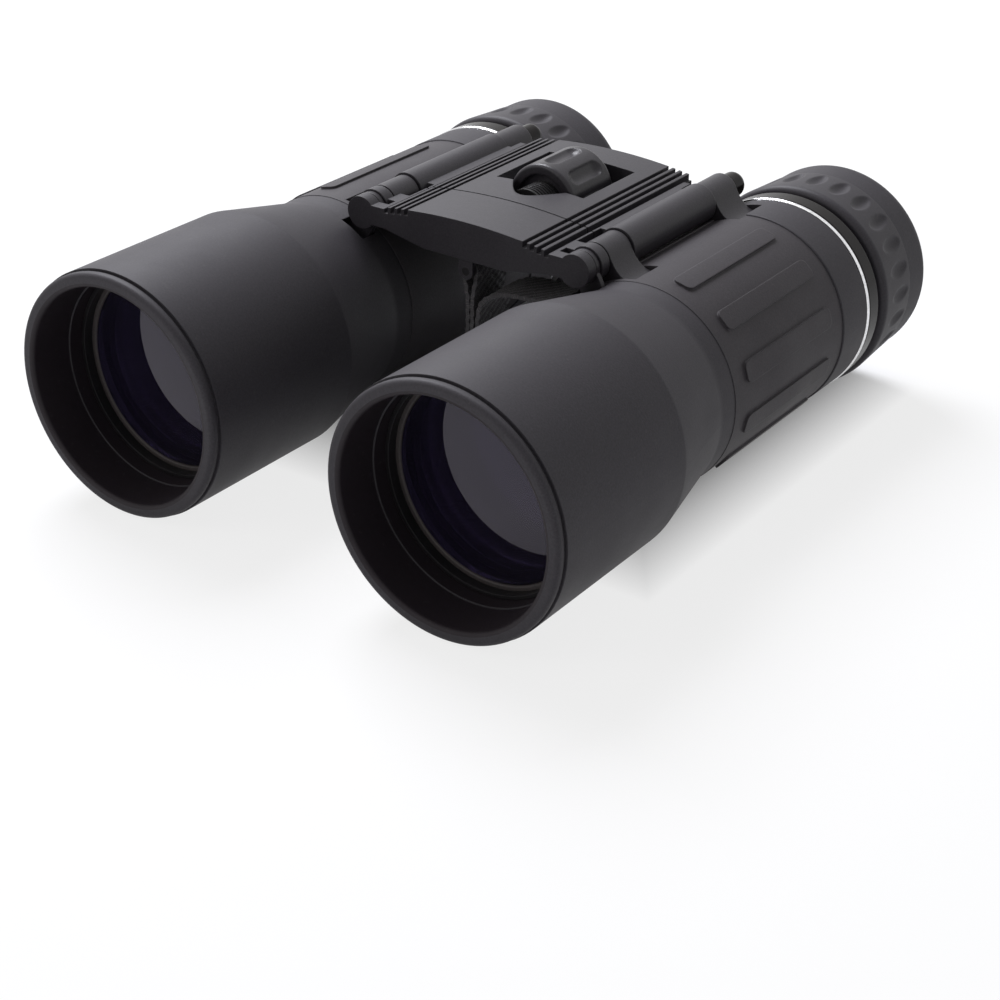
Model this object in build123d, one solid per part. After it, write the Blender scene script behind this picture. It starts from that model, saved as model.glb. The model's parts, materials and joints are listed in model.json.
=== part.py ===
from build123d import *
import os
from math import acos, atan2, cos, degrees, radians, sin, sqrt

# Roof-prism binoculars: two barrels hung by lugs on two hinge rods under a top bridge. The focus
# wheel screws the front piece of the bridge forwards, and with it both rods and both objective cells.
# Lengths are in millimetres. X runs across, Z is up, and Y runs along the optical axes from the
# objectives to the eyecups. The left barrel of the user is on the +X side.
# Everything is drawn with y = 0 at the front lips and z = 0 at the height of the optical axes, and is
# then moved so that the origin is the bottom centre of the object with its hinges fully open.

# ------------------------------------------------------------------ outside of a barrel
total_length = 142.5            # the bell takes what the other sections leave
axis_spacing = 73.14            # between the optical axes, hinges open
hood_bore = 42.0                # at the mouth, where an objective cap seats
guide_bore = 41.4               # behind the mouth, where the cell slides
bell_diameter = 48.0
cone_length = 19.0
neck_diameter = 40.2
neck_length = 4.8
sleeve_diameter = 40.4
sleeve_length = 41.9
sleeve_wall = 1.4
collar_diameter = 41.0
collar_length = 10.1
trim_diameter = 41.4
trim_length = 0.9
clamp_diameter = 41.2
clamp_length = 4.1
turning_ring_diameter = 42.8    # at its front
turning_ring_rear_diameter = 41.4
turning_ring_length = 12.7
eyecup_diameter = 41.0
eyecup_length = 9.2

lip_inset = 0.3                 # the front lip is this much smaller than the bell
lip_length = 1.5
lip_groove_width = 0.6
lip_groove_depth = 0.35
lip_inner_round = 0.8
lip_outer_round = 0.9
shoulder_round = 2.5            # where the bell meets the cone
neck_round = 6.0                # where the cone meets the neck
seam_round = 0.3                # at the front edges of the collar and the clamp ring
collar_rear_round = 0.4
clamp_rear_round = 0.5
ring_front_round = 1.5
ring_rear_round = 0.15

bar_height = 0.5                # raised grip bars on the sleeve
bar_width = 4.1
bar_corner_radius = 1.3
bar_setback = 4.3               # from the front end of the sleeve to the bars
bar_rear_margin = 5.0           # from the bars to the rear end of the sleeve
bar_count = 8
bar_pitch = 29.1                # degrees
bar_first_angle = 76.0          # degrees from +X towards +Z on the left barrel

dimple_count = 25
dimple_length = 8.0
dimple_width = 3.4
dimple_depth = 0.75
dimple_setback = 7.8            # from the front of the turning ring to the middle of a dimple

# ------------------------------------------------------------------ hinges and lugs
hinge_offset = 11.93            # sideways from the optical axis to the hinge, hinges open
knuckle_radius = 3.54
tube_radius = 3.9               # of the long hinge tubes between the lugs
knuckle_clearance = 0.77        # between a knuckle and the sleeve
front_disc_radius = 3.25
rod_radius = 2.0
running_fit = 0.05
disc_length = 2.5
arm_thickness = 1.1
arm_side_gap = 0.2              # between a focus arm and the disc on each side of it
knuckle_gap = 0.4
front_lug_setback = 1.5         # from the front of the sleeve to the front lug
front_lug_length = 7.3
rear_lug_lead = 2.4             # of the rear lug in front of the end of the sleeve
rear_lug_length = 8.5
cap_radius = 2.6
cap_length = 6.0
cap_round = 1.8
cap_plug_length = 1.8
rod_end_gap = 0.4
slot_gap = 0.3                  # round a lug where it passes through the sleeve and the collar
lug_outer_angle = 99.0          # degrees on the left barrel
lug_inner_angle = 127.0
slot_margin_angle = 1.2
lug_leave_angle = 25.0          # where the lug's strap leaves the knuckle
lug_foot_rise = 0.3

# ------------------------------------------------------------------ bridge
crown_height = 3.8              # of the plate's crown above the hinge axes
crown_radius = 125.0
belly_depth = 3.8               # of the plate's flat underside below the hinge axes
belly_half_width = 9.5
rail_half_width = 19.0          # half the width of the crowned part
strip_rise = 2.0                # of the side strips above the hinge axes
strip_depth = 2.0
rear_plate_overhang = 7.1       # of the main bridge behind its hinge tubes
rear_strip_half_width = 20.5
groove_count = 4
groove_width = 0.95
groove_pitch = 1.6
groove_depth = 1.1
side_notch_half_width = 19.5
side_notch_setback = 2.2
rear_notch_half_width = 18.7
rear_notch_length = 3.6
arm_pocket_half_width = 19.8
arm_pocket_margin = 0.7

window_half_width = 10.2
window_setback = 10.3           # from the front of the main bridge to the wheel window
scoop_length = 6.8
scoop_front_radius = 3.6
scoop_rear_radius = 7.2

# ------------------------------------------------------------------ focus drive
wheel_radius = 7.7
wheel_length = 14.2
wheel_front_gap = 0.8           # in the window, in front of the wheel
wheel_round = 0.7
wheel_boss_length = 3.7         # from the wheel to the rear of the window
flute_count = 8
flute_radius = 2.4
flute_depth = 0.9
flute_rim = 1.3
wheel_recess_radius = 5.7
wheel_recess_depth = 1.0
hub_radius = 4.2
hub_reach = 4.3                 # of the hub in front of the window
hub_rim = 0.6                   # in front of the first groove
hub_groove_pitch = 0.8
hub_groove_depth = 0.3
seat_radius = 3.0
thread_radius = 2.2
thread_clearance = 0.3
journal_radius = 2.0
journal_length = 7.6
boss_radius = 3.8
washer_thickness = 0.35
nut_radius = 3.1
nut_length = 10.0
screw_tip_setback = 0.8
focus_travel = 2.5

# ------------------------------------------------------------------ strap loop under the front bridge
strap_bar_radius = 0.9
strap_bar_drop = 2.5            # of the bar below the plate's underside
cheek_thickness = 1.2
cheek_half_width = 1.6
webbing_width = 10.2
webbing_thickness = 1.2
webbing_drop = 24.0
webbing_gap = 0.25

# ------------------------------------------------------------------ objective cells and lenses
cell_fit = 0.1
mouth_clearance = 0.5           # between the mouth and the cell at the end of its travel
cell_setback = 12.3             # from the front lip to the front rim of the cell
cell_rim_depth = 4.3
cell_rim_wall = 0.7
cell_rear_wall = 2.5
cell_tail_length = 10.0
cell_rear_gap = 2.5             # from the cell to the end of its guide bore
cell_pad_margin = 1.0           # of the pad for the arm, beside and in front of the arm
lens_ring_width = 0.6
lens_ring_thickness = 0.8
lens_edge_gap = 0.1
lens_front_curve = 60.0
crown_glass_thickness = 7.6
flint_glass_thickness = 2.2
neck_wall = 1.8

arm_width = 6.0
arm_blade_width = 5.0
arm_eye_radius = 3.2
arm_foot_length = 8.0
tongue_thickness = 1.5
tongue_clearance = 0.4
arm_slot_margin = 0.4
arm_screw_radius = 1.0
arm_screw_head_radius = 1.7
arm_screw_head_height = 0.7
arm_screw_spacing = 4.0

# ------------------------------------------------------------------ chassis and prisms
chassis_wall = 1.8
spigot_length = 10.0
chassis_rear_wall = 1.3
chassis_rear_gap = 0.8          # from the end of the chassis to the end of the clamp ring
cage_setback = 3.7              # from the front of the sleeve to the prism cage
cage_rear_gap = 5.1             # from the prism cage to the eyepiece
cage_fit = 0.1
cage_end_wall = 2.0
cage_pocket_width = 21.0
cage_pocket_height = 26.0
prism_width = 20.0
prism_margin = 0.6
light_hole_radius = 9.0

# ------------------------------------------------------------------ eyepieces
eyepiece_wall = 2.75
eyepiece_insertion = 11.2       # of the eyepiece tube in front of the end of the collar
retaining_step = 0.85
turning_ring_wall = 0.9
dioptre_travel = 1.0            # of the right eyepiece, each way
travel_margin = 0.3
skirt_clearance = 0.2
skirt_overlap = 0.9             # of the turning ring's skirt over the rear of the chassis
step_setback = 5.4              # from the front of the turning ring to the step that holds it
spigot_wall = 0.5
cup_spigot_length = 2.2
eye_ring_length = 1.4
eye_ring_lead = 2.3             # of the eye ring in front of the end of the turning ring
eye_lens_radius = 10.5
eye_lens_thickness = 7.0
eye_lens_curve = 26.0
eye_seat_width = 1.0
eye_seat_lead = 1.0             # of the seat's front in front of the flange
eye_opening_radius = 9.6
field_lens_thickness = 6.4
field_lens_curve = 34.0
field_ring_length = 1.4
field_ring_width = 1.3
cup_mouth_radius = 15.0
cup_throat_radius = 12.6
cup_throat_length = 1.2
cup_edge_round = 3.0
cup_mouth_round = 1.0
key_width = 2.0
key_height = 0.6
key_clearance = 0.1
key_end_gap = 1.0

# ------------------------------------------------------------------ derived places
half_spacing = axis_spacing / 2
hood_radius = hood_bore / 2
guide_radius = guide_bore / 2
bell_radius = bell_diameter / 2
neck_radius = neck_diameter / 2
sleeve_radius = sleeve_diameter / 2
collar_radius = collar_diameter / 2
clamp_radius = clamp_diameter / 2
turning_ring_radius = turning_ring_diameter / 2
ring_rear_radius = turning_ring_rear_diameter / 2
ring_taper = (turning_ring_radius - ring_rear_radius) / turning_ring_length
eyecup_radius = eyecup_diameter / 2
chassis_radius = sleeve_radius - sleeve_wall
chassis_bore = chassis_radius - chassis_wall
spigot_radius = neck_radius - neck_wall

ring_end = total_length - eyecup_length
ring_front = ring_end - turning_ring_length
travel_gap = dioptre_travel + travel_margin
clamp_end = ring_front - travel_gap
trim_end = clamp_end - clamp_length
collar_end = trim_end - trim_length
sleeve_end = collar_end - collar_length
sleeve_front = sleeve_end - sleeve_length
cone_end = sleeve_front - neck_length
bell_end = cone_end - cone_length
spigot_front = sleeve_front - spigot_length
bar_front = sleeve_front + bar_setback
bar_length = sleeve_end - bar_rear_margin - bar_front
chassis_end = clamp_end - chassis_rear_gap
chassis_rear_radius = chassis_bore + chassis_rear_wall

hinge_reach = sleeve_radius + knuckle_clearance + knuckle_radius
hinge_height = sqrt(hinge_reach ** 2 - hinge_offset ** 2)
hinge_x = half_spacing - hinge_offset
hinge_angle = degrees(atan2(hinge_height, -hinge_offset))
rod_bore = rod_radius + running_fit

arm_gap = arm_thickness + 2 * arm_side_gap
front_lug_front = sleeve_front + front_lug_setback
front_lug_end = front_lug_front + front_lug_length
disc_2_end = front_lug_front - knuckle_gap
disc_2_front = disc_2_end - disc_length
disc_1_end = disc_2_front - arm_gap
bridge_front = disc_1_end - disc_length
arm_front = disc_1_end + arm_side_gap
arm_end = arm_front + arm_thickness
main_front = front_lug_end + knuckle_gap
rear_lug_front = sleeve_end - rear_lug_lead
rear_lug_end = rear_lug_front + rear_lug_length
tube_end = rear_lug_front - knuckle_gap
main_end = tube_end + rear_plate_overhang
rod_front = bridge_front + disc_length / 2
rod_end = rear_lug_end - cap_plug_length - rod_end_gap

window_front = main_front + window_setback
wheel_front = window_front + wheel_front_gap
wheel_end = wheel_front + wheel_length
window_end = wheel_end + wheel_boss_length
plate_belly = hinge_height - belly_depth
nut_front = front_lug_end - nut_length
strap_bar_height = plate_belly - strap_bar_drop
strap_middle = (bridge_front + front_lug_end) / 2
strap_front = strap_middle - webbing_width / 2 - webbing_gap
strap_end = strap_middle + webbing_width / 2 + webbing_gap

cell_radius = guide_radius - cell_fit
cell_bore = cell_radius - cell_rim_wall
mouth_length = cell_setback - focus_travel - mouth_clearance
ring_seat = cell_setback + cell_rim_depth
ring_bore = cell_bore - lens_ring_width
lens_radius = cell_bore - lens_edge_gap
lens_sag = lens_front_curve - sqrt(lens_front_curve ** 2 - ring_bore ** 2)
lens_front = ring_seat + lens_ring_thickness - lens_sag + running_fit
flint_front = lens_front + crown_glass_thickness
lens_end = flint_front + flint_glass_thickness
cell_end = lens_end + cell_tail_length
guide_end = cell_end + cell_rear_gap
tail_bore = cell_radius - cell_rear_wall
tongue_outer = spigot_radius - tongue_clearance
tongue_inner = tongue_outer - tongue_thickness
foot_front = cell_end - arm_foot_length
foot_middle = cell_end - arm_foot_length / 2
arm_screw_places = [foot_middle - arm_screw_spacing / 2, foot_middle + arm_screw_spacing / 2]

eyepiece_radius = chassis_bore - running_fit
eyepiece_front = collar_end - eyepiece_insertion
cage_front = sleeve_front + cage_setback
cage_end = eyepiece_front - cage_rear_gap
flange_front = chassis_end + travel_gap
flange_radius = chassis_rear_radius + skirt_clearance - running_fit
skirt_radius = chassis_rear_radius + skirt_clearance + turning_ring_wall
skirt_front = chassis_end - skirt_overlap
clamp_step = skirt_front - travel_gap
held_radius = flange_radius - retaining_step
pocket_radius = held_radius + running_fit + retaining_step + skirt_clearance
spigot_outer = pocket_radius + spigot_wall
ring_step = ring_front + step_setback
tube_rear = ring_end - eye_ring_lead
field_bore = eyepiece_radius - eyepiece_wall
field_lens_front = eyepiece_front + field_ring_length
field_lens_end = field_lens_front + field_lens_thickness
eye_bore = eye_lens_radius + running_fit
eye_seat = eye_bore - eye_seat_width
cup_floor = ring_end + cup_spigot_length


# ------------------------------------------------------------------ helpers
def turned(*points):
    """A solid of revolution about the Y axis, from (radius, y) points. A third number in a point is
    the radius that rounds that corner."""
    outline = make_face(Polyline(*[point[:2] for point in points], close=True))
    for point in points:
        if len(point) == 3:
            place = Vector(*point[:2])
            corner = min(outline.vertices(), key=lambda vertex: (Vector(vertex) - place).length)
            outline = fillet(corner, point[2])
    return revolve(outline, Axis.Y)


def rod(radius, y0, y1, x=0.0, z=0.0):
    """A cylinder along Y from y0 to y1."""
    return Pos(x, (y0 + y1) / 2, z) * Rot(90, 0, 0) * Cylinder(radius, y1 - y0)


def block(x0, x1, y0, y1, z0, z1):
    """A box between the given planes."""
    return Pos((x0 + x1) / 2, (y0 + y1) / 2, (z0 + z1) / 2) * Box(x1 - x0, y1 - y0, z1 - z0)


def along_y(face, y0, y1):
    """A face drawn in X and Z, carried from y0 to y1."""
    return Pos(0, y1, 0) * extrude(Plane.XZ * face, y1 - y0)


def polar(radius, angle):
    """The (x, z) point at a radius and an angle in degrees from +X towards +Z."""
    return radius * cos(radians(angle)), radius * sin(radians(angle))


def facing(angle):
    """The turn about Y that carries +Z to the given angle."""
    return Rot(0, 90 - angle, 0)


def sector(angle_0, angle_1, radius):
    """A wedge in X and Z from the Y axis outwards."""
    middle = (angle_0 + angle_1) / 2
    return make_face(Polyline((0, 0), polar(radius, angle_0), polar(radius, middle),
                              polar(radius, angle_1), close=True))


def both_sides(shape):
    """The shape and its mirror image in the middle plane."""
    return shape + mirror(shape, about=Plane.YZ)


def crown_top(x):
    """The height of the plate's top above the optical axes."""
    return hinge_height + crown_height - crown_radius + sqrt(crown_radius ** 2 - x ** 2)


def chord_radius(chord, depth):
    """The radius of the arc that is depth deep over a chord."""
    return (chord ** 2 / 4 + depth ** 2) / (2 * depth)


def lens_face(radius, vertex, curve, outwards):
    """One face of a lens as a line in the plane of radius and y. outwards is -1 for a front face."""
    if curve == 0:
        return Line((0, vertex), (radius, vertex))
    sphere = abs(curve)
    bend = outwards if curve > 0 else -outwards
    middle_sag = sphere - sqrt(sphere ** 2 - (radius / 2) ** 2)
    edge_sag = sphere - sqrt(sphere ** 2 - radius ** 2)
    return ThreePointArc((0, vertex), (radius / 2, vertex - bend * middle_sag),
                         (radius, vertex - bend * edge_sag))


def lens(radius, y0, front_curve, thickness, rear_curve):
    """A round lens with its front vertex at y0. A curve of 0 is flat, and above 0 is convex."""
    front = lens_face(radius, y0, front_curve, -1)
    rear = lens_face(radius, y0 + thickness, rear_curve, 1)
    edge = Line(front @ 1, rear @ 1)
    axis = Line(front @ 0, rear @ 0)
    return revolve(make_face([front, edge, rear, axis]), Axis.Y)


def radial_pin(radius, y, r0, r1):
    """A pin along +Z at a place y, from radius r0 to r1."""
    return Pos(0, y, (r0 + r1) / 2) * Cylinder(radius, r1 - r0)


# ------------------------------------------------------------------ bridge pieces
def plate(y0, y1):
    """The crowned bridge plate with its side strips, out to the hinge axes."""
    edge_top = crown_top(rail_half_width)
    strip_top = hinge_height + strip_rise
    strip_bottom = hinge_height - strip_depth
    crown = ThreePointArc((-rail_half_width, edge_top), (0, crown_top(0)), (rail_half_width, edge_top))
    under = Polyline((rail_half_width, edge_top), (rail_half_width, strip_top), (hinge_x, strip_top),
                     (hinge_x, strip_bottom), (rail_half_width, strip_bottom),
                     (belly_half_width, plate_belly), (-belly_half_width, plate_belly),
                     (-rail_half_width, strip_bottom), (-hinge_x, strip_bottom),
                     (-hinge_x, strip_top), (-rail_half_width, strip_top),
                     (-rail_half_width, edge_top))
    body = along_y(make_face([crown, under]), y0, y1)
    for index in range(groove_count):
        outer = rail_half_width - index * groove_pitch
        floor = crown_top(outer) - groove_depth
        body -= both_sides(block(outer - groove_width, outer, y0, y1, floor, floor + crown_height))
    return body


def side_cut(half_width, y0, y1):
    """Takes both side strips away beyond half_width."""
    return both_sides(block(half_width, hinge_x + 2 * knuckle_radius, y0, y1, 0, 2 * hinge_height))


def side_cut_below(half_width, y0, y1):
    """As side_cut, but only below the hinge axes, where a lug swings through."""
    return both_sides(block(half_width, hinge_x + 2 * knuckle_radius, y0, y1, 0, hinge_height))


def make_main_bridge():
    body = plate(main_front, main_end)
    body -= side_cut(side_notch_half_width, main_front, main_front + side_notch_setback)
    rear_notch_front = main_end - rear_notch_length
    body -= side_cut(rear_strip_half_width, tube_end, rear_notch_front)
    body -= side_cut(rear_notch_half_width, rear_notch_front, main_end)
    body += both_sides(rod(tube_radius, main_front, tube_end, hinge_x, hinge_height))
    body -= both_sides(rod(rod_bore, main_front, tube_end, hinge_x, hinge_height))
    body -= block(-window_half_width, window_half_width, window_front, window_end, 0, 2 * hinge_height)
    scoop_front = window_front - scoop_length
    scoop = turned((0, scoop_front), (scoop_front_radius, scoop_front),
                   (scoop_rear_radius, window_front), (0, window_front))
    body -= Pos(0, 0, hinge_height) * scoop
    body += rod(boss_radius, wheel_end + washer_thickness + running_fit, window_end, 0, hinge_height)
    body -= rod(thread_radius + thread_clearance, main_front, scoop_front, 0, hinge_height)
    journal_end = wheel_end + journal_length + running_fit
    body -= rod(journal_radius + running_fit, wheel_end, journal_end, 0, hinge_height)
    return body


def make_front_bridge():
    body = plate(bridge_front, front_lug_end)
    body -= side_cut(arm_pocket_half_width, disc_1_end, disc_2_front + arm_pocket_margin)
    body -= side_cut(side_notch_half_width, disc_2_end + side_notch_setback, front_lug_end)
    body += both_sides(rod(front_disc_radius, bridge_front, disc_1_end, hinge_x, hinge_height))
    body += both_sides(rod(knuckle_radius, disc_2_front, disc_2_end, hinge_x, hinge_height))
    body -= both_sides(rod(knuckle_radius, disc_2_end, front_lug_end, hinge_x, hinge_height))
    body -= side_cut_below(hinge_x - knuckle_radius, disc_2_end, front_lug_end)
    body -= both_sides(rod(rod_radius, rod_front, disc_2_end, hinge_x, hinge_height))
    body -= rod(nut_radius, nut_front, front_lug_end, 0, hinge_height)
    for cheek_front in (strap_front - cheek_thickness, strap_end):
        cheek_end = cheek_front + cheek_thickness
        body += block(-cheek_half_width, cheek_half_width, cheek_front, cheek_end, strap_bar_height,
                      plate_belly)
        body += rod(cheek_half_width, cheek_front, cheek_end, 0, strap_bar_height)
        body -= rod(strap_bar_radius, cheek_front, cheek_end, 0, strap_bar_height)
    return body


def make_strap_bar():
    return rod(strap_bar_radius, strap_front - cheek_thickness, strap_end + cheek_thickness, 0,
               strap_bar_height)


def make_strap_loop():
    """A sewn loop of webbing: two strands, round the bar at the top and folded at the bottom."""
    inner = strap_bar_radius + running_fit
    outer = inner + webbing_thickness
    loop = (SlotCenterToCenter(webbing_drop, 2 * outer, rotation=90)
            - SlotCenterToCenter(webbing_drop, 2 * inner, rotation=90))
    middle = Pos(0, strap_bar_height - webbing_drop / 2)
    return along_y(middle * loop, strap_front + webbing_gap, strap_end - webbing_gap)


def make_hinge_rods():
    return [rod(rod_radius, rod_front, rod_end, side * hinge_x, hinge_height) for side in (1, -1)]


def make_focus_nut():
    nut = rod(nut_radius, nut_front, front_lug_end, 0, hinge_height)
    return nut - rod(thread_radius + running_fit, nut_front, front_lug_end, 0, hinge_height)


def make_friction_washer():
    front = wheel_end + running_fit
    washer = rod(boss_radius, front, front + washer_thickness, 0, hinge_height)
    return washer - rod(journal_radius + running_fit, wheel_end, window_end, 0, hinge_height)


def make_focus_wheel():
    wheel = rod(wheel_radius, wheel_front, wheel_end)
    wheel = fillet(wheel.edges().filter_by(GeomType.CIRCLE), wheel_round)
    flute_centre = wheel_radius + flute_radius - flute_depth
    flute_front = wheel_front + flute_rim + flute_radius
    flute_end = wheel_end - flute_rim - flute_radius
    flute = rod(flute_radius, flute_front, flute_end, 0, flute_centre)
    flute += Pos(0, flute_front, flute_centre) * Sphere(flute_radius)
    flute += Pos(0, flute_end, flute_centre) * Sphere(flute_radius)
    for index in range(flute_count):
        wheel -= Rot(0, index * 360 / flute_count, 0) * flute
    wheel -= rod(wheel_recess_radius, wheel_front, wheel_front + wheel_recess_depth)
    wheel -= rod(seat_radius, wheel_front, wheel_end)
    return Pos(0, 0, hinge_height) * wheel


def make_focus_screw():
    tip = nut_front + screw_tip_setback
    hub_front = window_front - hub_reach
    hub_end = wheel_front + wheel_recess_depth
    screw = rod(thread_radius, tip, hub_front) + rod(hub_radius, hub_front, hub_end)
    screw += rod(seat_radius, hub_end, wheel_end)
    screw += rod(journal_radius, wheel_end, wheel_end + journal_length)
    for index in range(int((hub_end - hub_front - hub_rim) / hub_groove_pitch)):
        groove_front = hub_front + hub_rim + index * hub_groove_pitch
        groove_end = groove_front + hub_groove_pitch / 2
        ring = rod(wheel_radius, groove_front, groove_end)
        screw -= ring - rod(hub_radius - hub_groove_depth, groove_front, groove_end)
    return Pos(0, 0, hinge_height) * screw


# ------------------------------------------------------------------ barrel pieces
def lug_face():
    """A lug's outline in X and Z: a knuckle, and a strap that runs down to the chassis."""
    centre = Vector(-hinge_offset, hinge_height)
    root = chassis_radius - chassis_wall / 2
    leave = centre + Vector(*polar(knuckle_radius, lug_leave_angle))
    leave_way = Vector(sin(radians(lug_leave_angle)), -cos(radians(lug_leave_angle)))
    foot = Vector(*polar(chassis_radius + lug_foot_rise, lug_outer_angle))
    foot_way = Vector(sin(radians(lug_outer_angle)), -cos(radians(lug_outer_angle)))
    foot_root = Vector(*polar(root, lug_outer_angle))
    inner_root = Vector(*polar(root, lug_inner_angle))
    middle_root = Vector(*polar(root, (lug_outer_angle + lug_inner_angle) / 2))
    to_root = inner_root - centre
    touch_angle = degrees(atan2(to_root.Y, to_root.X)) - degrees(acos(knuckle_radius / to_root.length))
    touch = centre + Vector(*polar(knuckle_radius, touch_angle))
    strap = Spline(leave, foot, tangents=[leave_way, foot_way])
    outline = [strap, Line(foot, foot_root), ThreePointArc(foot_root, middle_root, inner_root),
               Line(inner_root, touch), Line(touch, centre), Line(centre, leave)]
    return make_face(outline) + Pos(centre.X, centre.Y) * Circle(knuckle_radius)


def lug_slots():
    """What the sleeve and the collar leave free round both lugs."""
    wedge = sector(lug_outer_angle - slot_margin_angle, lug_inner_angle + slot_margin_angle,
                   2 * sleeve_radius)
    return (along_y(wedge, front_lug_front - slot_gap, front_lug_end + slot_gap)
            + along_y(wedge, rear_lug_front - slot_gap, rear_lug_end + slot_gap))


def make_objective_housing():
    lip = bell_radius - lip_inset
    groove = lip - lip_groove_depth
    groove_end = lip_length + lip_groove_width
    body = turned((hood_radius, 0, lip_inner_round), (lip, 0, lip_outer_round), (lip, lip_length),
                  (groove, lip_length), (groove, groove_end), (bell_radius, groove_end),
                  (bell_radius, bell_end, shoulder_round), (neck_radius, cone_end, neck_round),
                  (neck_radius, sleeve_front), (spigot_radius, sleeve_front),
                  (spigot_radius, spigot_front), (guide_radius, guide_end),
                  (guide_radius, mouth_length), (hood_radius, mouth_length))
    slot_half = arm_blade_width / 2 + arm_slot_margin
    slot = block(-slot_half, slot_half, arm_front - focus_travel - arm_slot_margin,
                 arm_end + arm_slot_margin, 0, bell_radius)
    return body - facing(hinge_angle) * slot


def make_barrel_chassis():
    body = turned((chassis_bore, spigot_front), (spigot_radius, spigot_front),
                  (spigot_radius, sleeve_front), (chassis_radius, sleeve_front),
                  (chassis_radius, collar_end), (chassis_rear_radius, collar_end),
                  (chassis_rear_radius, chassis_end), (chassis_bore, chassis_end))
    lug = lug_face()
    lugs = along_y(lug, front_lug_front, front_lug_end) + along_y(lug, rear_lug_front, rear_lug_end)
    body += lugs - rod(chassis_bore, 0, total_length)
    body -= rod(rod_bore, front_lug_front, rear_lug_end, -hinge_offset, hinge_height)
    notch_half = arm_width / 2 + tongue_clearance
    notch = block(-notch_half, notch_half, spigot_front, arm_end + arm_slot_margin, 0, bell_radius)
    body -= facing(hinge_angle) * notch
    key_half = key_width / 2 + key_clearance
    keyway = block(-key_half, key_half, eyepiece_front - key_end_gap, chassis_end,
                   -chassis_bore - key_height - key_clearance, 0)
    return body - keyway


def make_grip_sleeve():
    body = turned((chassis_radius, sleeve_front), (sleeve_radius, sleeve_front),
                  (sleeve_radius, sleeve_end), (chassis_radius, sleeve_end))
    bar_end = bar_front + bar_length
    bar_root = sleeve_radius - sleeve_wall / 2
    bar_outline = RectangleRounded(bar_width, bar_length, bar_corner_radius)
    pad = Pos(0, (bar_front + bar_end) / 2, 0) * extrude(bar_outline, 2 * sleeve_radius)
    bar = pad & turned((bar_root, bar_front), (sleeve_radius + bar_height, bar_front),
                       (sleeve_radius + bar_height, bar_end), (bar_root, bar_end))
    for index in range(bar_count):
        body += facing(bar_first_angle - index * bar_pitch) * bar
    return body - lug_slots()


def make_rear_collar():
    body = turned((chassis_radius, sleeve_end), (collar_radius, sleeve_end, seam_round),
                  (collar_radius, collar_end, collar_rear_round), (chassis_radius, collar_end))
    return body - lug_slots()


def make_trim_ring():
    return turned((chassis_rear_radius, collar_end), (trim_diameter / 2, collar_end),
                  (trim_diameter / 2, trim_end), (chassis_rear_radius, trim_end))


def make_clamp_ring():
    bore = skirt_radius + skirt_clearance
    return turned((chassis_rear_radius, trim_end), (clamp_radius, trim_end, seam_round),
                  (clamp_radius, clamp_end, clamp_rear_round), (bore, clamp_end), (bore, clamp_step),
                  (chassis_rear_radius, clamp_step))


def make_hinge_cap():
    """A round-ended plug that closes the hinge behind the rear lug."""
    plug_front = rear_lug_end - cap_plug_length
    cap_end = rear_lug_end + cap_length
    cap = turned((0, plug_front), (rod_radius, plug_front), (rod_radius, rear_lug_end),
                 (cap_radius, rear_lug_end), (cap_radius, cap_end, cap_round), (0, cap_end))
    return Pos(-hinge_offset, 0, hinge_height) * cap


def make_prism_cage():
    body = rod(chassis_bore - cage_fit, cage_front, cage_end)
    body -= block(-cage_pocket_width / 2, cage_pocket_width / 2, cage_front + cage_end_wall,
                  cage_end - cage_end_wall, -cage_pocket_height / 2, chassis_bore)
    return body - rod(light_hole_radius, cage_front, cage_end)


def make_prisms():
    """A half-pentaprism and a roof prism with a thin gap between them."""
    front = cage_front + cage_end_wall + prism_margin
    end = cage_end - cage_end_wall - prism_margin
    low = -cage_pocket_height / 2 + prism_margin
    high = -low
    middle = (front + end) / 2
    gap = prism_margin / 2
    half = prism_width / 2
    first = Polyline((front, low), (middle + high / 2 - gap, low), (middle - high / 2 - gap, high),
                     (front, high), close=True)
    second = Polyline((end, high), (middle - high / 2 + gap, high), (middle + high / 2 + gap, low),
                      (end, low), close=True)
    return [extrude(Plane.YZ * make_face(line), half, both=True) for line in (first, second)]


# ------------------------------------------------------------------ objective cell
def make_objective_cell():
    body = turned((cell_bore, cell_setback), (cell_radius, cell_setback), (cell_radius, cell_end),
                  (tail_bore, cell_end), (tail_bore, lens_end), (cell_bore, lens_end))
    pad_half = arm_width / 2 + cell_pad_margin
    pad = block(-pad_half, pad_half, lens_end + cell_pad_margin, cell_end, tongue_outer, cell_bore)
    body += facing(hinge_angle) * pad
    seat = block(-pad_half, pad_half, foot_front, cell_end, tongue_inner, tongue_outer)
    body -= facing(hinge_angle) * seat
    for place in arm_screw_places:
        body -= facing(hinge_angle) * radial_pin(arm_screw_radius, place, tongue_inner, cell_bore)
    return body


def make_lens_ring():
    return turned((ring_bore, ring_seat), (cell_bore, ring_seat),
                  (cell_bore, ring_seat + lens_ring_thickness),
                  (ring_bore, ring_seat + lens_ring_thickness))


def make_objective_lens():
    """A cemented doublet: a biconvex crown and a flint behind it."""
    crown = lens(lens_radius, lens_front, lens_front_curve, crown_glass_thickness, lens_front_curve)
    flint = lens(lens_radius, flint_front, -lens_front_curve, flint_glass_thickness, 0)
    return [crown, flint]


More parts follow.
